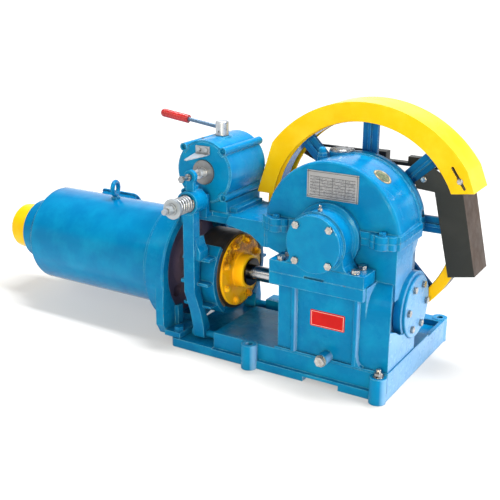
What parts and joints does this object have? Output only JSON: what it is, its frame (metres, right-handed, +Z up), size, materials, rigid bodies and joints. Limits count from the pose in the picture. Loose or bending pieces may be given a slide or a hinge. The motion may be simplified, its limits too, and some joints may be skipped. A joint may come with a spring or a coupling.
{
  "type": "elevator traction machine",
  "caption": "Geared elevator traction machine: spoked rope sheave, worm gear case, electromagnetic drum brake with two sprung arms and a motor in line with the worm.",
  "frame": {"origin": "centre of the foundation bolt rectangle on the underside of the base", "axes": "+X along the worm line from the motor towards the worm end cap, +Y from the bearing housing towards the rope sheave, +Z up"},
  "size_m": [1.662, 0.616, 0.765],
  "materials": {
    "blue_paint": "glossy enamel",
    "yellow_paint": "glossy enamel",
    "black_paint": "satin",
    "dark_paint": "satin",
    "zinc_steel": "zinc plated",
    "bare_steel": "machined",
    "dark_iron": "machined",
    "bronze": "machined",
    "copper": "varnished winding",
    "plate_aluminium": "satin",
    "red_grip": "glossy",
    "brake_lining": "matt"
  },
  "bodies": {
    "frame": {"base": "blue_paint", "lower_housing": "blue_paint", "upper_case": "blue_paint", "parting_bolts": "blue_paint", "front_bearing_housing": "blue_paint", "front_bearing_cover": "blue_paint", "cover_bolts": "zinc_steel", "foot_bolts": "zinc_steel", "grease_nipple": "zinc_steel", "main_bearings": "bare_steel", "line_bearings": "bare_steel", "worm_end_cap": "blue_paint", "worm_end_cap_bolts": "zinc_steel", "worm_seal_cover": "blue_paint", "filler_cap": "zinc_steel", "breather_plug": "blue_paint", "drain_plug": "zinc_steel", "nameplate": "plate_aluminium", "motor_frame": "blue_paint", "stator": "dark_iron", "motor_end_shield": "dark_paint", "motor_rear_cowl": "blue_paint", "terminal_box": "blue_paint", "eye_bolt": "blue_paint", "motor_adapter": "blue_paint", "bracket_bolts": "blue_paint", "magnet_bridge": "blue_paint", "magnet_housing": "blue_paint", "magnet_coil": "copper", "pointer_plate": "zinc_steel", "spring_rods": "zinc_steel", "spring_seats": "zinc_steel", "front_spring": "zinc_steel", "rear_spring": "zinc_steel", "arm_pivot_pins": "zinc_steel", "sheave_guard": "yellow_paint", "guard_frame": "black_paint", "rope_guard": "black_paint", "guard_bolts": "zinc_steel"},
    "wheel_train": {"main_shaft": "bare_steel", "worm_wheel_hub": "dark_iron", "worm_wheel_rim": "bronze", "sheave": "blue_paint"},
    "worm_line": {"worm_shaft": "bare_steel", "worm": "bare_steel", "coupling_flange": "yellow_paint", "coupling_pins": "yellow_paint", "brake_drum": "dark_iron", "rotor": "bare_steel", "hand_wheel": "yellow_paint"},
    "front_arm": {"front_brake_arm": "blue_paint", "front_lining": "brake_lining", "front_adjusting_bolt": "zinc_steel"},
    "rear_arm": {"rear_brake_arm": "blue_paint", "rear_lining": "brake_lining", "rear_adjusting_bolt": "zinc_steel"},
    "front_plunger_body": {"front_plunger": "zinc_steel"},
    "rear_plunger_body": {"rear_plunger": "zinc_steel"},
    "lever": {"release_lever": "zinc_steel", "lever_grip": "red_grip"}
  },
  "joints": [
    {"name": "wheel_spin", "type": "hinge", "parent": "frame", "child": "wheel_train", "pos_m": [0, -0.037, 0.42], "axis": [0, 1, 0], "continuous": true},
    {"name": "worm_spin", "type": "hinge", "parent": "frame", "child": "worm_line", "pos_m": [0, -0.037, 0.215], "axis": [1, 0, 0], "continuous": true},
    {"name": "front_arm_hinge", "type": "hinge", "parent": "frame", "child": "front_arm", "pos_m": [-0.41, -0.187, 0.045], "axis": [1, 0, 0], "range_deg": [0, 1], "stiffness_Nm_per_rad": 2000, "springref_deg": -2.86, "deforming": ["front_spring"]},
    {"name": "rear_arm_hinge", "type": "hinge", "parent": "frame", "child": "rear_arm", "pos_m": [-0.41, 0.113, 0.045], "axis": [-1, 0, 0], "range_deg": [0, 1], "stiffness_Nm_per_rad": 2000, "springref_deg": -2.86, "deforming": ["rear_spring"]},
    {"name": "front_plunger_slide", "type": "slide", "parent": "frame", "child": "front_plunger_body", "axis": [0, -1, 0], "range_m": [0, 0.0088]},
    {"name": "rear_plunger_slide", "type": "slide", "parent": "frame", "child": "rear_plunger_body", "axis": [0, 1, 0], "range_m": [0, 0.0088]},
    {"name": "lever_turn", "type": "hinge", "parent": "frame", "child": "lever", "pos_m": [-0.43, -0.037, 0.641], "axis": [0, 0, 1], "range_deg": [0, 40]}
  ],
  "couplings": [
    {"joint": "worm_spin", "follows": "wheel_spin", "ratio": 45},
    {"joint": "rear_arm_hinge", "follows": "front_arm_hinge", "ratio": 1},
    {"joint": "front_plunger_slide", "follows": "front_arm_hinge", "m_per_rad": 0.499},
    {"joint": "rear_plunger_slide", "follows": "front_arm_hinge", "m_per_rad": 0.499},
    {"joint": "lever_turn", "follows": "front_arm_hinge", "ratio": 40}
  ]
}
